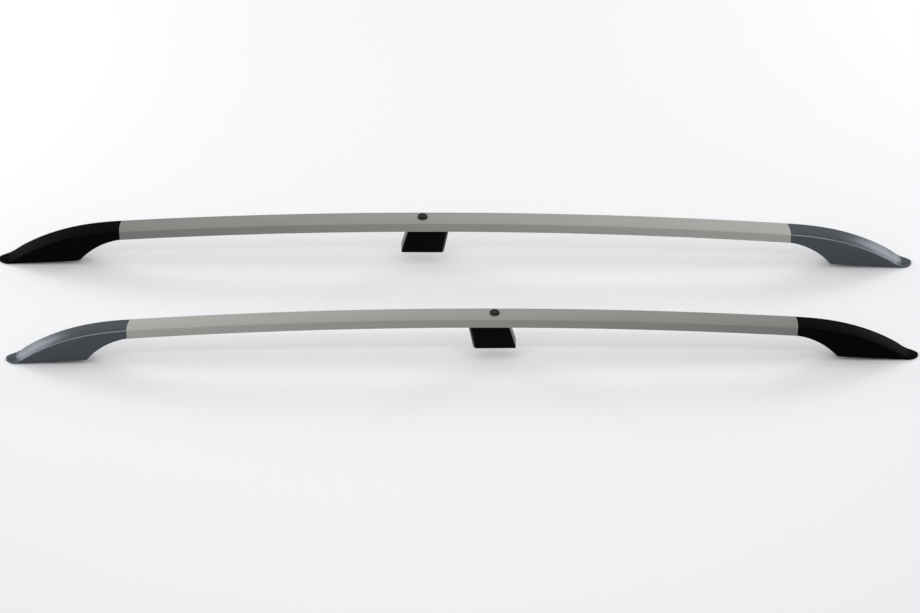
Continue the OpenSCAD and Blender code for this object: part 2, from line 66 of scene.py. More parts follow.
class Hand(Enum):
    """The two rails of the pair: the left one is the mirror image of the right one."""

    RIGHT = "right"
    LEFT = "left"

    @property
    def side(self) -> float:
        """Where the rail stands across the car: 1 for the right one, -1 for the left one."""
        return 1.0 if self is Hand.RIGHT else -1.0


class End(Enum):
    """The two ends of a rail."""

    FRONT = "front"
    REAR = "rear"


def shade(red: float, green: float, blue: float) -> Colour:
    """Turns a colour written from 0 to 255 as a screen shows it into a linear one.

    Args:
        red: red from 0 to 255.
        green: green from 0 to 255.
        blue: blue from 0 to 255.

    Returns:
        The linear colour, from 0 to 1.
    """

    def linear(value: float) -> float:
        """One channel, by the screen's own curve."""
        part = value / 255
        return part / 12.92 if part <= 0.04045 else ((part + 0.055) / 1.055) ** 2.4

    return linear(red), linear(green), linear(blue)


# Sizes


@dataclass(frozen=True)
class RailSizes:
    """Driving sizes of a rail in millimetres, as in the part's source."""

    spacing: float = 340.0
    stagger: float = 14.2
    toe: float = math.radians(0.42)
    roof_rise: float = 34.5
    bar_len: float = 1400.0
    bar_arch_r: float = 9900.0
    bar_w: float = 41.0
    bar_h: float = 21.2
    bar_wall: float = 2.2
    bar_crown: float = 1.2
    back_edge_r: float = 3.0
    low_edge_r: float = 2.0
    front_sweep: float = math.radians(12.5)
    rear_sweep: float = math.radians(8.0)
    front_bow: float = 1.7
    rear_bow: float = 3.0
    foot_len: float = 250.0
    foot_wall: float = 2.4
    arch_r: float = 127.0
    arch_start: float = math.radians(10.7)
    nose_len: float = 22.0
    ease_len: float = 33.0
    tip_slope: float = 0.05
    late_bend: float = 0.8
    tip_h: float = 4.3
    foot_taper: float = 2.2
    roll_h: float = 3.2
    side_dish: float = 0.7
    crease_r: float = 0.8
    mid_h: float = 55.0
    mid_top_len: float = 85.0
    mid_sole_len: float = 89.0
    mid_w: float = 36.0
    mid_rake: float = 12.4
    mid_offset: float = 68.0
    bolt_inset: float = 2.5
    gasket_t: float = 2.5

    @property
    def bar_half(self) -> float:
        """Half the bar's length."""
        return self.bar_len / 2

    @property
    def half_w(self) -> float:
        """Half the bar's width."""
        return self.bar_w / 2

    @property
    def edge_z(self) -> float:
        """Height of the bar's outer top edge at its middle."""
        return self.roof_rise + self.mid_h + self.bar_h

    @property
    def arch_centre_z(self) -> float:
        """Height of the centre of the bar's arch, far below the roof."""
        return self.edge_z - self.bar_arch_r

    @property
    def joint_angle(self) -> float:
        """Lean of the bar's tangent at the joint."""
        return math.asin(self.bar_half / self.bar_arch_r)

    @property
    def joint_slope(self) -> float:
        """Slope of the bar's tangent at the joint."""
        return math.tan(self.joint_angle)

    @property
    def joint_z(self) -> float:
        """Height of the outer top edge at the joint."""
        return self.arch_centre_z + self.bar_arch_r * math.cos(self.joint_angle)

    @property
    def sole_tilt(self) -> float:
        """Lean of an end foot's flat sole, which follows the roof."""
        tip_x = self.bar_half + self.foot_len
        roof_r = (tip_x**2 + self.roof_rise**2) / (2 * self.roof_rise)
        return math.asin((tip_x - self.foot_len / 3) / roof_r)

    def sweep(self, end: End) -> float:
        """Sweep of the joint at one end, seen from above."""
        return self.front_sweep if end is End.FRONT else self.rear_sweep

    def joint_bow(self, y: float, end: End) -> float:
        """How far the joint bows past its straight line, towards the foot, at a place across the bar.

        Args:
            y: place across the bar, from its middle.
            end: the end of the rail.

        Returns:
            The bow in millimetres.
        """
        share = max(0.0, min(1.0, (y + self.half_w) / self.bar_w))
        power = self.front_bow if end is End.FRONT else self.rear_bow
        return self.bar_w * math.tan(self.sweep(end)) * (share - share**power)

    @property
    def nose_u(self) -> float:
        """Where the round nose of an end foot begins."""
        return self.foot_len - self.nose_len


SIZES = RailSizes()


def crown(share: float) -> float:
    """Rise of the rolled top across its width, from 0 at the outer crease to 1 at the middle.

    Args:
        share: place across the section, from -1 at the crease to 1 at the inner side.

    Returns:
        The share of the full rise at that place.
    """
    return math.sin(math.pi / 2 * (1 + share)) if share < 0 else 1 - 0.25 * share**2


@dataclass(frozen=True)
class Section:
    """Closed outline of the bar or a foot, as (y, z) points from the inner lower edge over the top."""

    half_w: float
    top: float
    low: float
    rise: float
    back_r: float
    low_r: float
    dish: float = 0.0
    crease_r: float = SIZES.crease_r
    top_steps: int = 12

    def points(self) -> list[tuple[float, float]]:
        """The outline's points, always the same number in the same order.

        Returns:
            The (y, z) points in millimetres.
        """
        w, low_r, back_r, crease_r = self.half_w, self.low_r, self.back_r, self.crease_r
        shoulder = self.top + self.rise * crown((w - back_r) / w)
        inner_low = [
            (w - low_r + low_r * math.sin(a), self.low + low_r - low_r * math.cos(a)) for a in arc(0, 90, 4)
        ]
        back = [
            (w - back_r + back_r * math.cos(a), shoulder - back_r + back_r * math.sin(a)) for a in arc(0, 90, 8)
        ]
        from_y, to_y = w - back_r, -w + crease_r
        top = []
        for step in range(1, self.top_steps + 1):
            y = from_y + (to_y - from_y) * step / self.top_steps
            top.append((y, self.top + self.rise * crown(y / w)))
        start_z = top[-1][1]
        crease = [
            (-w + crease_r - crease_r * math.sin(a), start_z - crease_r + crease_r * math.cos(a))
            for a in arc(0, 90, 4)
        ][1:]
        side = []
        for step in range(1, 6):
            share = step / 6
            z = crease[-1][1] + (self.low + low_r - crease[-1][1]) * share
            side.append((-w + self.dish * math.sin(math.pi * share), z))
        outer_low = [
            (-w + low_r - low_r * math.cos(a), self.low + low_r - low_r * math.sin(a)) for a in arc(0, 90, 4)
        ]
        return inner_low + back + top + crease + side + outer_low


def arc(start: float, stop: float, steps: int) -> list[float]:
    """Evenly spaced angles in radians, both ends included.

    Args:
        start: first angle in degrees.
        stop: last angle in degrees.
        steps: number of steps between them.

    Returns:
        The angles in radians.
    """
    return [math.radians(start + (stop - start) * step / steps) for step in range(steps + 1)]


# Finishes


@dataclass(frozen=True)
class Finish:
    """A procedural finish: a Principled shader with a grain, a slow mottle, a fine bump and, where set, painted light
    along each rail.
    """

    name: str
    slot: str
    base: Colour
    roughness: float = 0.4
    metallic: float = 0.0
    specular: float = 0.5
    coat: float = 0.0
    coat_roughness: float = 0.15
    grain: float = 900.0
    grain_stretch: tuple[float, float, float] = (1.0, 1.0, 1.0)
    grain_tone: float = 0.03
    grain_bump: float = 0.02
    mottle: float = 30.0
    mottle_tone: float = 0.04
    mottle_roughness: float = 0.05
    # painted light along each rail: how far the tone strays, and over what reach in metres
    painted_light_drift: float = 0.0
    painted_light_reach: float = 0.7

    def material(self) -> bpy.types.Material:
        """Builds the material, or hands back the one that is already there.

        Returns:
            The material.
        """
        known = bpy.data.materials.get(self.name)
        if known:
            return known
        made = bpy.data.materials.new(self.name)
        made.use_nodes = True
        nodes, links = made.node_tree.nodes, made.node_tree.links
        shader = nodes["Principled BSDF"]
        shader.inputs["Metallic"].default_value = self.metallic
        shader.inputs["Specular IOR Level"].default_value = self.specular
        shader.inputs["Coat Weight"].default_value = self.coat
        shader.inputs["Coat Roughness"].default_value = self.coat_roughness
        place = nodes.new("ShaderNodeTexCoord")
        stretch = nodes.new("ShaderNodeMapping")
        stretch.inputs["Scale"].default_value = self.grain_stretch
        links.new(place.outputs["Object"], stretch.inputs["Vector"])
        grain = self._noise(nodes, links, stretch.outputs["Vector"], self.grain, 3.0)
        mottle = self._noise(nodes, links, place.outputs["Object"], self.mottle, 4.0)
        tone = self._spread(nodes, links, grain, self.grain_tone)
        slow = self._spread(nodes, links, mottle, self.mottle_tone)
        factor = self._product(nodes, links, tone, slow)
        # painted light: the base colour darkens towards each rail's rear end and lightens towards its front end
        if self.painted_light_drift:
            factor = self._paint_light_along_rail(nodes, links, place.outputs["Object"], factor)
        tint = nodes.new("ShaderNodeVectorMath")
        tint.operation = "SCALE"
        tint.inputs[0].default_value = self.base
        links.new(factor, tint.inputs["Scale"])
        links.new(tint.outputs["Vector"], shader.inputs["Base Color"])
        rough = nodes.new("ShaderNodeMapRange")
        rough.inputs["To Min"].default_value = self.roughness - self.mottle_roughness
        rough.inputs["To Max"].default_value = self.roughness + self.mottle_roughness
        links.new(mottle, rough.inputs["Value"])
        links.new(rough.outputs["Result"], shader.inputs["Roughness"])
        bump = nodes.new("ShaderNodeBump")
        bump.inputs["Strength"].default_value = self.grain_bump
        bump.inputs["Distance"].default_value = 0.0002
        links.new(grain, bump.inputs["Height"])
        links.new(bump.outputs["Normal"], shader.inputs["Normal"])
        made.diffuse_color = (*self.base, 1.0)
        return made

    def _paint_light_along_rail(self, nodes: Nodes, links: NodeLinks, vector: NodeSocket, factor: NodeSocket) -> NodeSocket:
        """Paints light along each rail: the tone runs from painted shade at the rear end to painted light at the front
        end.

        Args:
            nodes: the material's nodes.
            links: the material's links.
            vector: socket of the object coordinates, whose Y tells the two rails apart.
            factor: socket of the tone so far.

        Returns:
            The socket of the drifted tone.
        """
        axes = nodes.new("ShaderNodeSeparateXYZ")
        links.new(vector, axes.inputs["Vector"])
        side = nodes.new("ShaderNodeMath")
        side.operation = "SIGN"
        links.new(axes.outputs["Y"], side.inputs[0])
        forward = self._product(nodes, links, axes.outputs["X"], side.outputs[0])
        share = nodes.new("ShaderNodeMapRange")
        share.inputs["From Min"].default_value = -self.painted_light_reach
        share.inputs["From Max"].default_value = self.painted_light_reach
        share.inputs["To Min"].default_value = 1 - self.painted_light_drift
        share.inputs["To Max"].default_value = 1 + self.painted_light_drift
        links.new(forward, share.inputs["Value"])
        return self._product(nodes, links, factor, share.outputs["Result"])

    @staticmethod
    def _product(nodes: Nodes, links: NodeLinks, first: NodeSocket, second: NodeSocket) -> NodeSocket:
        """Multiplies two values.

        Args:
            nodes: the material's nodes.
            links: the material's links.
            first: socket of the first value.
            second: socket of the second value.

        Returns:
            The socket of their product.
        """
        product = nodes.new("ShaderNodeMath")
        product.operation = "MULTIPLY"
        links.new(first, product.inputs[0])
        links.new(second, product.inputs[1])
        return product.outputs[0]

    @staticmethod
    def _noise(nodes: Nodes, links: NodeLinks, vector: NodeSocket, scale: float, detail: float) -> NodeSocket:
        """Adds a noise pattern.

        Args:
            nodes: the material's nodes.
            links: the material's links.
            vector: socket of the place that the pattern is read at.
            scale: how fine the pattern is.
            detail: how many finer layers it has.

        Returns:
            The socket of the pattern's value.
        """
        noise = nodes.new("ShaderNodeTexNoise")
        noise.inputs["Scale"].default_value = scale
        noise.inputs["Detail"].default_value = detail
        links.new(vector, noise.inputs["Vector"])
        return noise.outputs["Fac"]

    @staticmethod
    def _spread(nodes: Nodes, links: NodeLinks, value: NodeSocket, amount: float) -> NodeSocket:
        """Maps a pattern to a factor about 1.

        Args:
            nodes: the material's nodes.
            links: the material's links.
            value: socket of the pattern.
            amount: how far the factor strays from 1.

        Returns:
            The socket of the factor.
        """
        spread = nodes.new("ShaderNodeMapRange")
        spread.inputs["From Min"].default_value = 0.25
        spread.inputs["From Max"].default_value = 0.75
        spread.inputs["To Min"].default_value = 1 - amount
        spread.inputs["To Max"].default_value = 1 + amount
        links.new(value, spread.inputs["Value"])
        return spread.outputs["Result"]


# the aluminium carries painted light: darker towards each rail's rear end, lighter towards its front end
ALUMINIUM = Finish(
    "satin_anodised_aluminium", "bar_aluminium", shade(159, 158, 153), roughness=0.34, metallic=0.28, specular=0.3,
    grain=330.0, grain_stretch=(0.02, 1.0, 1.0), grain_tone=0.05, grain_bump=0.03, mottle=14.0, mottle_tone=0.012,
    mottle_roughness=0.02, painted_light_drift=0.3,
)
# the two foot finishes are lit and shaded copies of one moulding: the front feet's grey is painted light, the rear
# feet's near-black is painted shade
PAINTED_LIT_FOOT_FINISH = Finish(
    "foot_moulding_painted_lit", "graphite_plastic", shade(74, 79, 85), roughness=0.3, metallic=0.6, specular=0.4,
    grain=1400.0, grain_tone=0.03, grain_bump=0.05, mottle=26.0, mottle_tone=0.08, mottle_roughness=0.05,
)
# painted highlight: a lighter copy of the front feet's grey, laid on their crease faces
PAINTED_CREASE_HIGHLIGHT = replace(PAINTED_LIT_FOOT_FINISH, name="foot_crease_painted_highlight", base=shade(138, 144, 151))
PAINTED_SHADED_FOOT_FINISH = Finish(
    "foot_moulding_painted_shade", "black_plastic", shade(4, 4, 5), roughness=0.52, specular=0.025,
    grain=1400.0, grain_tone=0.03, grain_bump=0.05, mottle=26.0, mottle_tone=0.08, mottle_roughness=0.05,
)
GLOSS_BLACK = Finish(
    "half_gloss_black", "black_gloss", shade(6, 6, 9), roughness=0.2, specular=0.03,
    grain=1200.0, grain_tone=0.02, grain_bump=0.03, mottle=60.0, mottle_tone=0.08, mottle_roughness=0.06,
)
# painted highlight: a lighter, glossier copy of the half-gloss black, laid on the middle foot's forward faces for a
# bright strip
PAINTED_HIGHLIGHT_BLACK = replace(
    GLOSS_BLACK, name="middle_foot_painted_highlight", base=shade(9, 9, 11), roughness=0.16, specular=0.55, mottle_roughness=0.04
)
BLACK_STEEL = Finish(
    "black_coated_steel", "black_steel", shade(10, 10, 11), roughness=0.18, specular=0.2, coat=0.05,
    grain=2400.0, grain_tone=0.03, grain_bump=0.03, mottle=200.0, mottle_tone=0.05, mottle_roughness=0.04,
)
ZINC = Finish(
    "zinc_plated_steel", "zinc_steel", shade(196, 198, 196), roughness=0.34, metallic=1.0,
    grain=1600.0, grain_tone=0.03, grain_bump=0.03, mottle=90.0, mottle_tone=0.05, mottle_roughness=0.07,
)
RUBBER = Finish(
    "black_rubber", "black_rubber", shade(30, 30, 30), roughness=0.8, specular=0.25,
    grain=1800.0, grain_tone=0.05, grain_bump=0.12, mottle=70.0, mottle_tone=0.1, mottle_roughness=0.06,
)


# Mesh work


class Workpiece:
    """A mesh in the making, in millimetres in the frame of a right rail."""

    def __init__(self) -> None:
        """Starts an empty mesh."""
        self.bm = bmesh.new()

    def loop(self, points: Sequence[Sequence[float]]) -> list[BMVert]:
        """Draws a closed outline.

        Args:
            points: its corners in order, as (x, y, z).

        Returns:
            The outline's vertices in that order.
        """
        verts = [self.bm.verts.new(point) for point in points]
        for first, second in zip(verts, verts[1:] + verts[:1]):
            self.bm.edges.new((first, second))
        return verts

    def edges_of(self, ring: Sequence[BMVert]) -> list[BMEdge]:
        """Finds the edges of a closed outline.

        Args:
            ring: its vertices in order.

        Returns:
            Its edges in order.
        """
        pairs = zip(ring, list(ring[1:]) + [ring[0]])
        return [self.bm.edges.get(pair) for pair in pairs]

    def draw_on(self, ring: Sequence[BMVert], points: Sequence[Sequence[float]]) -> list[BMVert]:
        """Extrudes an outline and moves the new one to its places.

        Args:
            ring: the outline's vertices in order.
            points: where the new vertices go, in the same order.

        Returns:
            The new outline's vertices in the same order.
        """
        made = bmesh.ops.extrude_edge_only(self.bm, edges=self.edges_of(ring))
        fresh = {item for item in made["geom"] if isinstance(item, BMVert)}
        moved = []
        for old, point in zip(ring, points):
            new = next(edge.other_vert(old) for edge in old.link_edges if edge.other_vert(old) in fresh)
            new.co = point
            moved.append(new)
        return moved

    def cap(self, ring: Sequence[BMVert]) -> BMFace:
        """Closes an outline with one face and returns it."""
        return bmesh.ops.contextual_create(self.bm, geom=self.edges_of(ring))["faces"][0]

    def outer_faces(self) -> None:
        """Turns every face to point outwards."""
        bmesh.ops.recalc_face_normals(self.bm, faces=self.bm.faces[:])

    def round_edges(self, edges: Iterable[BMEdge], radius: float, steps: int = 3) -> None:
        """Rounds edges.

        Args:
            edges: the edges.
            radius: width of the rounding in millimetres.
            steps: number of facets across it.
        """
        bmesh.ops.bevel(
            self.bm, geom=list(edges), offset=radius, offset_type="OFFSET", segments=steps, profile=0.5,
            affect="EDGES", clamp_overlap=True, material=-1,
        )

    def finish(
        self, name: str, hand: Hand, finish: Finish, replaces: Sequence[str], sharp: float = 30.0
    ) -> bpy.types.Object:
        """Puts the piece on its rail, in metres, and dresses it.

        Args:
            name: the piece's name.
            hand: the rail that it belongs to.
            finish: its finish.
            replaces: the CAD nodes that it stands for.
            sharp: angle in degrees from which an edge stays sharp.

        Returns:
            The finished object.
        """
        turn = Matrix.Rotation(-SIZES.toe, 3, "Z")
        bmesh.ops.rotate(self.bm, cent=(0, 0, 0), matrix=turn, verts=self.bm.verts[:])
        bmesh.ops.translate(self.bm, vec=(-SIZES.stagger / 2, 0, 0), verts=self.bm.verts[:])
        if hand is Hand.LEFT:
            bmesh.ops.scale(self.bm, vec=(-1, 1, 1), verts=self.bm.verts[:])
            bmesh.ops.reverse_faces(self.bm, faces=self.bm.faces[:])
        bmesh.ops.translate(self.bm, vec=(0, hand.side * SIZES.spacing / 2, 0), verts=self.bm.verts[:])
        bmesh.ops.scale(self.bm, vec=(MM, MM, MM), verts=self.bm.verts[:])
        mesh = bpy.data.meshes.new(name)
        self.bm.to_mesh(mesh)
        self.bm.free()
        mesh.shade_smooth()
        mesh.set_sharp_from_angle(angle=math.radians(sharp))
        piece = bpy.data.objects.new(name, mesh)
        bpy.context.scene.collection.objects.link(piece)
        mesh.materials.append(finish.material())
        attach(piece, "root")
        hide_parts(*replaces)
        LOG.info("%s: %d faces", name, len(mesh.polygons))
        return piece


# Bar


@dataclass
class Bar:
    """The arched, hollow extrusion of one rail."""

    hand: Hand
    sizes: RailSizes = SIZES
    sweep_steps: int = 96
    spare: float = math.radians(0.15)
    end_chamfer: float = 0.35
    rim_skin: float = 0.8

    def on_arch(self, y: float, height: float, angle: float) -> Vector:
        """A point of the section, laid on the arch at an angle from its middle."""
        reach = self.sizes.bar_arch_r + height
        return Vector((reach * math.sin(angle), y, self.sizes.arch_centre_z + reach * math.cos(angle)))

    def build(self) -> bpy.types.Object:
        """Spins the section along the arch, cuts both swept ends and closes them.

        Returns:
            The bar.
        """
        s = self.sizes
        work = Workpiece()
        start = -(s.joint_angle + self.spare)
        outer = Section(s.half_w, 0, -s.bar_h, s.bar_crown, s.back_edge_r, s.low_edge_r).points()
        wall = s.bar_wall
        inner = Section(
            s.half_w - wall, -wall, -s.bar_h + wall, s.bar_crown, 1.8, 0.5, crease_r=0.5, top_steps=6
        ).points()
        for outline in (outer, inner):
            work.loop([self.on_arch(y, z, start) for y, z in outline])
        bmesh.ops.spin(
            work.bm, geom=work.bm.verts[:] + work.bm.edges[:], cent=(0, 0, s.arch_centre_z), axis=(0, 1, 0),
            angle=-2 * start, steps=self.sweep_steps, use_merge=False, use_duplicate=False,
        )
        for end in End:
            self._cut_end(work, end)
        work.outer_faces()
        return work.finish(f"{self.hand.value}_rail_bar", self.hand, ALUMINIUM, [f"{self.hand.value}_bar"], 24)

    def _cut_end(self, work: Workpiece, end: End) -> None:
        """Cuts one end along the swept joint, closes its wall and breaks the outer edge.

        Args:
            work: the bar's mesh.
            end: the end to cut.
        """
        s = self.sizes
        turn, sweep, way = s.joint_angle, s.sweep(end), 1 if end is End.FRONT else -1
        normal = Vector((way * math.cos(sweep) * math.cos(turn), math.sin(sweep), -math.cos(sweep) * math.sin(turn)))
        cut = bmesh.ops.bisect_plane(
            work.bm, geom=work.bm.verts[:] + work.bm.edges[:] + work.bm.faces[:], dist=1e-5,
            plane_co=(way * s.bar_half, -s.half_w, s.joint_z), plane_no=normal, clear_outer=True,
        )
        rim = [item for item in cut["geom_cut"] if isinstance(item, BMEdge)]
        outwards = Vector((way * math.cos(turn), 0, -math.sin(turn)))
        for vert in {vert for edge in rim for vert in edge.verts}:
            vert.co += outwards * s.joint_bow(vert.co.y, end)
        bmesh.ops.bridge_loops(work.bm, edges=rim)
        work.round_edges([edge for edge in rim if edge.is_valid and self._is_outer(edge)], self.end_chamfer, 1)

    def _is_outer(self, edge: BMEdge) -> bool:
        """Tells whether an edge of the end lies on the section's outside.

        Args:
            edge: the edge.

        Returns:
            False where either of its ends lies deeper in the wall than the rim's skin.
        """
        s, skin = self.sizes, self.rim_skin
        for vert in edge.verts:
            reach = Vector((vert.co.x, vert.co.z - s.arch_centre_z)).length - s.bar_arch_r
            if abs(vert.co.y) < s.half_w - skin and -s.bar_h + skin < reach < s.bar_crown * 0.2 - skin:
                return False
        return True


# End foot


@dataclass
class EndFoot:
    """A moulded end foot, hollow above its sole, in the frame of the right rail's front end."""

    hand: Hand
    end: End
    sizes: RailSizes = SIZES
    neck_steps: int = 12
    body_steps: int = 18
    nose_steps: int = 12
    nose_end: float = math.radians(84)
    crisp_crease_r: float = 1.5
    soft_crease_r: float = 3.4
    heel_rounding: float = 4.0
    heel_reach: float = 12.0
    mouth_gap: float = 1.4
    body_bunching: float = 1.25
    sole_edge_r: float = 0.8
    joint_chamfer: float = 0.35
    roll_fall_len: float = 64.0
    inner_rounding: float = 54.0
    heel_steps: tuple[float, ...] = (-4.5, -3.0, -1.8, -0.8, 0.0, 0.7)
    # steps of the outline whose faces carry the painted crease highlight
    painted_highlight_start: int = 25
    painted_highlight_facets: int = 4
    heel_u: float = field(init=False)

    def __post_init__(self) -> None:
        """Works out where the arch meets the sole and how fast the crease falls."""
        s = self.sizes
        self.arch_u = -s.arch_r * math.sin(s.arch_start)
        self.arch_drop = s.bar_h + s.arch_r * math.cos(s.arch_start)
        self.sole_slope = math.tan(s.sole_tilt)
        self.heel_u = self.arch_reach(s.arch_r)
        self.ease_u = s.foot_len - s.ease_len
        fall = s.joint_z - s.tip_h
        late = s.late_bend * self.ease_u / s.foot_len
        self.bend = (fall - s.joint_slope * (self.ease_u + s.ease_len / 4) - 0.75 * s.tip_slope * s.ease_len) / (
            self.ease_u**2 * (1 + late) + self.ease_u * (2 + 3 * late) * s.ease_len / 4
        )
        self.ease_slope = s.joint_slope + self.bend * self.ease_u * (2 + 3 * late)

    @property
    def crease_r(self) -> float:
        """Rounding of the crease: crisp on the front feet, which wear the painted lit grey, soft on the rear ones,
        which wear the painted shaded black.
        """
        return self.crisp_crease_r if self.end is End.FRONT else self.soft_crease_r

    def sole_z(self, u: float) -> float:
        """Height of the sole at a place along the foot."""
        return (self.sizes.foot_len - u) * self.sole_slope

    def arch_reach(self, radius: float) -> float:
        """Where a circle about the arch's centre comes down to the sole.

        Args:
            radius: the circle's radius.

        Returns:
            The place along the foot.
        """
        u = self.arch_u + radius * 0.8
        for _ in range(8):
            drop = self.sizes.joint_z - self.sole_z(u)
            u = self.arch_u + math.sqrt(max(1.0, radius**2 - (self.arch_drop - drop) ** 2))
        return u

    def crease_z(self, u: float) -> float:
        """Height of the outer crease: the bar's arch, then a growing bend, then a short easing at the tip.

        Args:
            u: place along the foot, from the joint.

        Returns:
            The height in millimetres.
        """
        s = self.sizes
        if u < 0:
            return s.joint_z - s.joint_slope * u - u * u / (2 * s.bar_arch_r)
        bent = min(u, self.ease_u)
        fall = s.joint_slope * bent + self.bend * bent**2 * (1 + s.late_bend * bent / s.foot_len)
        past = max(0.0, u - self.ease_u)
        eased = (self.ease_slope - s.tip_slope) * s.ease_len / 4 * (1 - (1 - past / s.ease_len) ** 4)
        return s.joint_z - fall - s.tip_slope * past - eased

    def belly_z(self, u: float) -> float:
        """Height of the underside: the bar's own, then the arch, then the sole.

        Args:
            u: place along the foot, from the joint.

        Returns:
            The height in millimetres.
        """
        s = self.sizes
        if u < 0:
            return self.crease_z(u) - s.bar_h
        arch_z = s.joint_z - self.arch_drop + math.sqrt(max(0.0, s.arch_r**2 - (u - self.arch_u) ** 2))
        if self.end is End.REAR and abs(u - self.heel_u) < self.heel_reach:
            gap = arch_z - self.sole_z(u)
            return self.sole_z(u) + (gap + math.hypot(gap, self.heel_rounding)) / 2
        return arch_z if u < self.heel_u else self.sole_z(u)

    def flank(self, u: float) -> float:
        """Half the width of the foot's body."""
        s = self.sizes
        return s.half_w - s.foot_taper * max(0.0, min(1.0, u / s.nose_u)) ** 2

    def nose(self, u: float, length: float) -> float:
        """Share of the half width that the round nose leaves, over the length of its rounding."""
        share = max(0.0, 1 - (self.sizes.foot_len - u) / length)
        return math.sqrt(max(0.0, 1 - share**2))

    def roll(self, u: float) -> float:
        """Rise of the rolled top above the crease.

        Args:
            u: place along the foot, from the joint.

        Returns:
            The rise in millimetres.
        """
        s = self.sizes
        t = max(0.0, min(1.0, u / s.nose_u))
        fall = 0.2 + 0.8 * self.nose(u, self.roll_fall_len) ** 2
        return (s.bar_crown + (s.roll_h - s.bar_crown) * t * t * (3 - 2 * t)) * fall

    def ring(self, u: float) -> list[Vector]:
        """One outline of the outer skin; at the neck the outlines lean over into the swept joint.

        Args:
            u: place along the foot, from the joint.

        Returns:
            The outline's points in the right rail's frame.
        """
        s = self.sizes
        lean = max(0.0, 1 - u / self.heel_u)
        outer, inner = self.nose(u, s.nose_len), self.nose(u, self.inner_rounding)
        w, top, low = self.flank(u) * (outer + inner) / 2, self.crease_z(u), self.belly_z(u)
        centre_y = self.flank(u) * (inner - outer) / 2
        low_r = self.sole_edge_r * (0.3 + 0.7 * inner)
        if u < self.heel_u:
            low_r = s.low_edge_r + (self.sole_edge_r - s.low_edge_r) * u / self.heel_u
        back_r = min(s.back_edge_r, 0.45 * w, 0.45 * (top - low))
        dish = s.side_dish * math.sin(math.pi * max(0.0, min(1.0, u / s.nose_u)))
        crease_r = min(self.crease_r, 0.12 * w, 0.2 * (top - low))
        outline = Section(w, top, low, self.roll(u), back_r, min(low_r, 0.3 * w), dish, crease_r).points()
        placed = []
        for y, z in outline:
            swept = (y + w) * math.tan(s.sweep(self.end)) / math.cos(s.joint_angle) - s.joint_bow(y, self.end)
            shift = -lean * (swept + (top - z) * s.joint_slope)
            share = (z - low) / (top - low)
            lift = share * (self.crease_z(u + shift) - top) + (1 - share) * (self.belly_z(u + shift) - low)
            placed.append(Vector((s.bar_half + u + shift + lean * lift * s.joint_slope, y + centre_y, z + lift)))
        return placed

    def stations(self) -> list[float]:
        """Places of the outlines along the foot, close together at the neck and the nose.

        Returns:
            The places in order, from the joint.
        """
        s = self.sizes
        neck = [self.heel_u * step / self.neck_steps for step in range(self.neck_steps)]
        neck += [self.heel_u + step for step in self.heel_steps]
        mouth = self.heel_u + self.mouth_gap
        body = [
            mouth + (s.nose_u - mouth) * (step / self.body_steps) ** self.body_bunching
            for step in range(self.body_steps + 1)
        ]
        nose = [
            s.nose_u + s.nose_len * math.sin(self.nose_end * step / self.nose_steps)
            for step in range(1, self.nose_steps + 1)
        ]
        return neck + body + nose

    def build(self) -> bpy.types.Object:
        """Draws the skin outline by outline, opens the sole and closes both ends.

        Returns:
            The foot.
        """
        work = Workpiece()
        stations = self.stations()
        rings = [work.loop(self.ring(stations[0]))]
        for u in stations[1:]:
            rings.append(work.draw_on(rings[-1], self.ring(u)))
        joint_face = work.cap(rings[0])
        work.cap(rings[-1])
        work.outer_faces()
        mouth = self.neck_steps + len(self.heel_steps)
        nose = mouth + self.body_steps
        last = len(rings[0]) - 1
        opening = zip(rings[mouth:nose], rings[mouth + 1 : nose + 1])
        sole = [self._face_between(first, second, last) for first, second in opening]
        # painted highlight: the crease faces of the front feet take the lighter copy as material 1
        if self.end is End.FRONT:
            for first, second in zip(rings, rings[1:]):
                for step in range(self.painted_highlight_start, self.painted_highlight_start + self.painted_highlight_facets):
                    self._face_between(first, second, step).material_index = 1
        self._hollow(work, sole)
        work.round_edges(joint_face.edges[:], self.joint_chamfer, 1)
        if self.end is End.REAR:
            bmesh.ops.scale(work.bm, vec=(-1, 1, 1), verts=work.bm.verts[:])
            bmesh.ops.reverse_faces(work.bm, faces=work.bm.faces[:])
        # painted light and shade: the front feet take the lit grey copy, the rear feet the shaded black copy
        finish = PAINTED_LIT_FOOT_FINISH if self.end is End.FRONT else PAINTED_SHADED_FOOT_FINISH
        name = f"{self.hand.value}_{self.end.value}"
        piece = work.finish(f"{name}_moulding", self.hand, finish, [f"{name}_foot"], 28)
        # material 1 is the painted crease highlight
        if self.end is End.FRONT:
            piece.data.materials.append(PAINTED_CREASE_HIGHLIGHT.material())
        return piece

    @staticmethod
    def _face_between(first: list[BMVert], second: list[BMVert], step: int) -> BMFace:
        """Finds the face between two outlines that starts at one of their steps.

        Args:
            first: an outline's vertices in order.
            second: the next outline's vertices.
            step: the step that it starts at.

        Returns:
            The face.
        """
        after = (step + 1) % len(first)
        corners = {first[step], first[after], second[step], second[after]}
        return next(face for face in first[step].link_faces if set(face.verts) == corners)

    def _hollow(self, work: Workpiece, sole: list[BMFace]) -> None:
        """Sinks the hollow into the sole, up to a wall below the crease.

        Args:
            work: the foot's mesh.
            sole: the faces of the sole between the heel and the nose.
        """
        s = self.sizes
        bmesh.ops.inset_region(work.bm, faces=sole, thickness=s.foot_wall - self.sole_edge_r, use_even_offset=True)
        bmesh.ops.inset_region(work.bm, faces=sole, thickness=0.02, depth=0.0)
        for vert in {vert for face in sole for vert in face.verts}:
            u = vert.co.x - s.bar_half
            vert.co.z = max(vert.co.z + 1.0, self.crease_z(u) - s.foot_wall)


# Middle foot


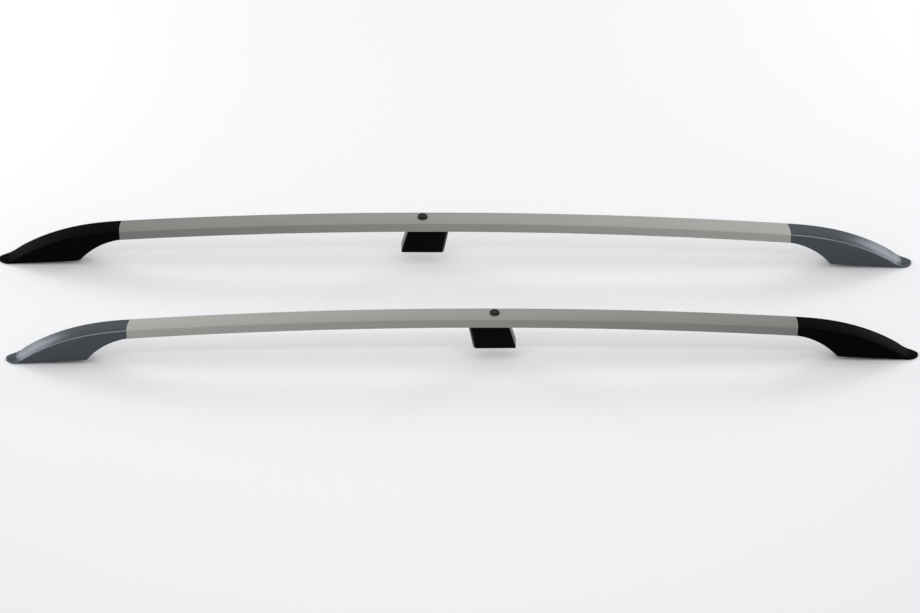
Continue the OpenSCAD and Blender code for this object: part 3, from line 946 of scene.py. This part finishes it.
@dataclass
class MiddleFoot:
    """The raked, hollow moulding under the middle of the bar."""

    hand: Hand
    sizes: RailSizes = SIZES
    front_edge_r: float = 6.0
    rear_edge_r: float = 3.0
    low_edge_r: float = 2.0
    panel_band: float = 5.0
    panel_depth: float = 0.8
    wall: float = 3.0
    column_r: float = 11.0
    hex_r: float = 7.8

    def build(self) -> bpy.types.Object:
        """Shapes a block into the raked foot, with its panel, its hollow and its column.

        Returns:
            The foot.
        """
        s = self.sizes
        work = Workpiece()
        bmesh.ops.create_cube(work.bm, size=1.0)
        for vert in work.bm.verts:
            high = vert.co.z > 0
            length = s.mid_top_len if high else s.mid_sole_len
            x = vert.co.x * length + (s.mid_rake if high else 0.0)
            vert.co = (x - s.mid_offset, vert.co.y * s.mid_w, s.roof_rise + (s.mid_h + self.top_lift(x) if high else 0))
        front = [e for e in self._upright(work) if e.verts[0].co.x > -s.mid_offset]
        work.round_edges(front, self.front_edge_r, 8)
        behind = -s.mid_offset - s.mid_top_len / 4
        rear = [e for e in self._upright(work) if max(v.co.x for v in e.verts) < behind]
        work.round_edges(rear, self.rear_edge_r, 6)
        floor = [e for e in work.bm.edges if all(v.co.z < s.roof_rise + 0.01 for v in e.verts)]
        work.round_edges(floor, self.low_edge_r, 4)
        self._panel(work)
        self._hollow(work)
        self._column(work)
        # painted highlight: faces towards the front that face forward take the lighter, glossier copy as material 1
        for face in work.bm.faces:
            in_front = face.calc_center_median().x > -s.mid_offset + s.mid_top_len / 4
            face.material_index = 1 if in_front and face.normal.x > 0.25 else 0
        name = f"{self.hand.value}_mid_foot"
        piece = work.finish(f"{self.hand.value}_middle_moulding", self.hand, GLOSS_BLACK, [name], 32)
        piece.data.materials.append(PAINTED_HIGHLIGHT_BLACK.material())
        return piece

    def _upright(self, work: Workpiece) -> list[BMEdge]:
        """The edges that run from the sole up to the top."""
        return [e for e in work.bm.edges if abs(e.verts[0].co.z - e.verts[1].co.z) > self.sizes.mid_h / 2]

    def top_lift(self, x: float) -> float:
        """Lift of the top face, which lies along a chord of the bar's arch.

        Args:
            x: place along the foot, from the bolt.

        Returns:
            The lift in millimetres.
        """
        s = self.sizes
        middle = s.mid_rake - s.mid_offset
        slope = math.tan(math.asin(-middle / s.bar_arch_r))
        drop = (middle**2 + s.mid_top_len**2 / 4) / (2 * s.bar_arch_r)
        return slope * (x - s.mid_rake) - drop

    def _panel(self, work: Workpiece) -> None:
        """Sinks the shallow panel into the outer face.

        Args:
            work: the foot's mesh.
        """
        outer = max((f for f in work.bm.faces if f.normal.y < -0.99), key=lambda face: face.calc_area())
        bmesh.ops.inset_region(work.bm, faces=[outer], thickness=self.panel_band, use_even_offset=True)
        bmesh.ops.inset_region(
            work.bm, faces=[outer], thickness=self.panel_depth * 1.2, depth=-self.panel_depth, use_even_offset=True
        )

    def _hollow(self, work: Workpiece) -> None:
        """Sinks the hollow into the sole, where the gasket sits.

        Args:
            work: the foot's mesh.
        """
        s = self.sizes
        sole = max((f for f in work.bm.faces if f.normal.z < -0.9), key=lambda face: face.calc_area())
        bmesh.ops.inset_region(work.bm, faces=[sole], thickness=self.wall - self.low_edge_r, use_even_offset=True)
        bmesh.ops.inset_region(work.bm, faces=[sole], thickness=0.02, depth=0.0)
        rise = s.mid_h - self.wall - 1.0
        bmesh.ops.translate(work.bm, vec=(s.mid_rake * rise / s.mid_h, 0, rise), verts=sole.verts[:])

    def _column(self, work: Workpiece) -> None:
        """Stands the hollow column round the sleeve nut inside the foot.

        Args:
            work: the foot's mesh.
        """
        s = self.sizes
        base = Matrix.Translation((-s.mid_offset, s.bolt_inset, s.roof_rise))
        rims = []
        for radius, sides in ((self.column_r, 48), (self.hex_r, 6)):
            made = bmesh.ops.create_circle(work.bm, cap_ends=False, radius=radius, segments=sides, matrix=base)
            edges = list({edge for vert in made["verts"] for edge in vert.link_edges})
            grown = bmesh.ops.extrude_edge_only(work.bm, edges=edges)["geom"]
            bmesh.ops.translate(work.bm, vec=(0, 0, s.mid_h - 8), verts=[v for v in grown if isinstance(v, BMVert)])
            rims += edges
        bmesh.ops.bridge_loops(work.bm, edges=rims)
        work.outer_faces()


# Bolt


@dataclass
class MiddleBolt:
    """The round bolt above the middle foot: a domed head with a dished centre, and its shank."""

    hand: Hand
    sizes: RailSizes = SIZES
    head_r: float = 10.5
    head_h: float = 4.0
    shank_r: float = 4.0
    seal_t: float = 0.8

    def build(self) -> bpy.types.Object:
        """Spins the bolt's half outline about its axis.

        Returns:
            The bolt.
        """
        s = self.sizes
        top = s.arch_centre_z + math.sqrt(s.bar_arch_r**2 - s.mid_offset**2) + s.bar_crown
        seat = top - 0.5 + self.seal_t
        bottom = s.roof_rise + s.gasket_t + 16.0
        work = Workpiece()
        outline = [work.bm.verts.new((r - s.mid_offset, s.bolt_inset, z)) for r, z in self.half_outline(bottom, seat)]
        for first, second in zip(outline, outline[1:]):
            work.bm.edges.new((first, second))
        bmesh.ops.spin(
            work.bm, geom=work.bm.verts[:] + work.bm.edges[:], cent=(-s.mid_offset, s.bolt_inset, 0), axis=(0, 0, 1),
            angle=2 * math.pi, steps=72, use_merge=True, use_duplicate=False,
        )
        bmesh.ops.remove_doubles(work.bm, verts=work.bm.verts[:], dist=1e-4)
        work.outer_faces()
        return work.finish(
            f"{self.hand.value}_round_bolt", self.hand, BLACK_STEEL, [f"{self.hand.value}_mid_bolt"], 40
        )

    def half_outline(self, bottom: float, seat: float) -> list[tuple[float, float]]:
        """Half the bolt's outline, from the end of the shank to the middle of the head's dish.

        Args:
            bottom: height of the shank's end.
            seat: height of the head's underside.

        Returns:
            The outline as (radius, height).
        """
        rim, cap_r = 0.3 * self.head_h, 0.58 * self.head_r
        outline = [(0.0, bottom), (self.shank_r - 0.6, bottom), (self.shank_r, bottom + 0.6), (self.shank_r, seat)]
        outline += [(self.head_r - 0.6, seat), (self.head_r - 0.1, seat + 0.25), (self.head_r, seat + 0.6)]
        for angle in arc(0, 62, 10):
            outline.append((
                cap_r + (self.head_r - cap_r) * math.cos(angle), seat + rim + (self.head_h - rim) * math.sin(angle),
            ))
        outline += [(cap_r + 0.5, seat + self.head_h - 0.1), (cap_r, seat + self.head_h - 0.15)]
        outline += [(cap_r - 0.6, seat + self.head_h - 0.5), (cap_r - 1.2, seat + self.head_h - 0.6)]
        return outline + [(0.0, seat + self.head_h - 0.6)]


# Carried-over nodes


class Hardware:
    """The CAD nodes whose own shape is right: brackets, nuts, screws, gaskets and seals."""

    FINISHES: dict[str, Finish] = {
        "gasket": RUBBER, "seal": RUBBER, "bracket": ZINC, "weld_nuts": ZINC, "foot_screws": ZINC,
        "bar_screws": ZINC, "spacer": ZINC, "sleeve_nut": ZINC, "bar": ALUMINIUM, "mid_bolt": BLACK_STEEL,
        # front feet: painted lit copy, rear feet: painted shaded copy of one foot moulding
        "front_foot": PAINTED_LIT_FOOT_FINISH, "rear_foot": PAINTED_SHADED_FOOT_FINISH, "mid_foot": GLOSS_BLACK,
    }

    def __init__(self, nodes: dict[str, bpy.types.Object]) -> None:
        """Keeps the frame's nodes.

        Args:
            nodes: the CAD nodes by name.
        """
        self.nodes = nodes

    def dress(self) -> None:
        """Gives every CAD node the finish of its kind."""
        for name, node in self.nodes.items():
            finish = next(kind for ending, kind in self.FINISHES.items() if name.endswith(ending))
            material = finish.material()
            if not node.material_slots:
                node.data.materials.append(material)
            for slot in node.material_slots:
                slot.material = material
            LOG.info("%s wears %s", name, finish.name)


# Studio


@dataclass
class Studio:
    """A pale floor, soft lamps and the photograph's camera."""

    elevation: float = math.radians(36)
    mm_per_px: float = 2.083
    picture_px: int = 920
    shift_px: tuple[float, float] = (1.4, 2.65)
    world_strength: float = 0.5
    floor_tone: Colour = shade(253, 253, 254)
    floor_bounce: Colour = shade(196, 196, 198)

    def build(self) -> None:
        """Sets the floor, the world, the lamps and the camera."""
        scene = bpy.context.scene
        scene.view_settings.view_transform = "Standard"
        self._floor()
        self._world()
        self._lamp("top_panel", (0.0, -0.4, 3.0), (4.6, 3.4), 30.0)
        self._lamp("back_panel", (0.0, 2.4, 1.9), (3.6, 1.1), 6.0)
        self._lamp("front_strip", (0.0, -1.6, 2.3), (3.6, 0.3), 10.0)
        self._lamp("right_panel", (2.2, 1.75, 0.9), (1.0, 1.0), 16.0)
        self._lamp("left_panel", (-2.2, 1.4, 0.9), (1.0, 1.0), 16.0)
        self._camera()

    def _floor(self) -> None:
        """Lays the plain floor on which the rails rest."""
        work = bmesh.new()
        bmesh.ops.create_grid(work, x_segments=1, y_segments=1, size=8.0)
        mesh = bpy.data.meshes.new("floor")
        work.to_mesh(mesh)
        work.free()
        floor = bpy.data.objects.new("floor", mesh)
        bpy.context.scene.collection.objects.link(floor)
        mesh.materials.append(self._floor_material())

    def _floor_material(self) -> bpy.types.Material:
        """Makes the floor's colour, which is paler where it is seen than where it lights the pair.

        Returns:
            The material.
        """
        made = bpy.data.materials.new("pale_floor")
        made.use_nodes = True
        nodes, links = made.node_tree.nodes, made.node_tree.links
        shader = nodes["Principled BSDF"]
        seen = nodes.new("ShaderNodeLightPath")
        direct = nodes.new("ShaderNodeMath")
        direct.operation = "MAXIMUM"
        shown = nodes.new("ShaderNodeMath")
        shown.operation = "MAXIMUM"
        colour = nodes.new("ShaderNodeMix")
        colour.data_type = "RGBA"
        links.new(seen.outputs["Is Camera Ray"], direct.inputs[0])
        links.new(seen.outputs["Is Glossy Ray"], direct.inputs[1])
        links.new(direct.outputs[0], shown.inputs[0])
        links.new(seen.outputs["Is Transmission Ray"], shown.inputs[1])
        links.new(shown.outputs[0], colour.inputs["Factor"])
        colour.inputs["A"].default_value = (*self.floor_bounce, 1)
        colour.inputs["B"].default_value = (*self.floor_tone, 1)
        links.new(colour.outputs["Result"], shader.inputs["Base Color"])
        shader.inputs["Roughness"].default_value = 0.9
        shader.inputs["Specular IOR Level"].default_value = 0.1
        return made

    def _world(self) -> None:
        """Lights everything evenly from all round."""
        world = bpy.data.worlds.new("soft_room")
        world.use_nodes = True
        back = world.node_tree.nodes["Background"]
        back.inputs["Color"].default_value = (0.97, 0.98, 1.0, 1.0)
        back.inputs["Strength"].default_value = self.world_strength
        bpy.context.scene.world = world

    @staticmethod
    def _lamp(name: str, place: tuple[float, float, float], size: tuple[float, float], power: float) -> None:
        """Hangs a soft panel that faces the pair.

        Args:
            name: the lamp's name.
            place: where it hangs, in metres.
            size: its width and height in metres.
            power: its power in watts.
        """
        data = bpy.data.lights.new(name, "AREA")
        data.shape = "RECTANGLE"
        data.size, data.size_y = size
        data.energy = power
        lamp = bpy.data.objects.new(name, data)
        lamp.location = place
        lamp.rotation_euler = (-Vector(place)).to_track_quat("-Z", "Y").to_euler()
        bpy.context.scene.collection.objects.link(lamp)

    def _camera(self) -> None:
        """Sets the straight-on camera, which looks down at the pair's outer sides."""
        up = Vector((0, math.sin(self.elevation), math.cos(self.elevation)))
        back = Vector((0, -math.cos(self.elevation), math.sin(self.elevation)))
        step = self.mm_per_px * MM
        target = Vector((self.shift_px[0] * step, 0, 0)) + up * (self.shift_px[1] * step)
        data = bpy.data.cameras.new("view")
        data.type = "ORTHO"
        data.ortho_scale = self.picture_px * step
        data.clip_end = 20
        camera = bpy.data.objects.new("view", data)
        camera.location = target + back * 4
        camera.rotation_euler = (math.pi / 2 - self.elevation, 0, 0)
        bpy.context.scene.collection.objects.link(camera)
        bpy.context.scene.camera = camera


def corners(bounds: Sequence[Sequence[float]]) -> list[list[float]]:
    """Turns a box's corners into plain lists."""
    return [[float(value) for value in corner] for corner in bounds]


def main() -> None:
    """Loads the frame and builds the pieces in order."""
    logging.basicConfig(level=logging.INFO, format="%(message)s")
    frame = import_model()
    Studio().build()
    Hardware(frame["nodes"]).dress()
    for hand in Hand:
        Bar(hand).build()
        for end in End:
            EndFoot(hand, end).build()
        MiddleFoot(hand).build()
        MiddleBolt(hand).build()


if __name__ == "__main__":
    main()
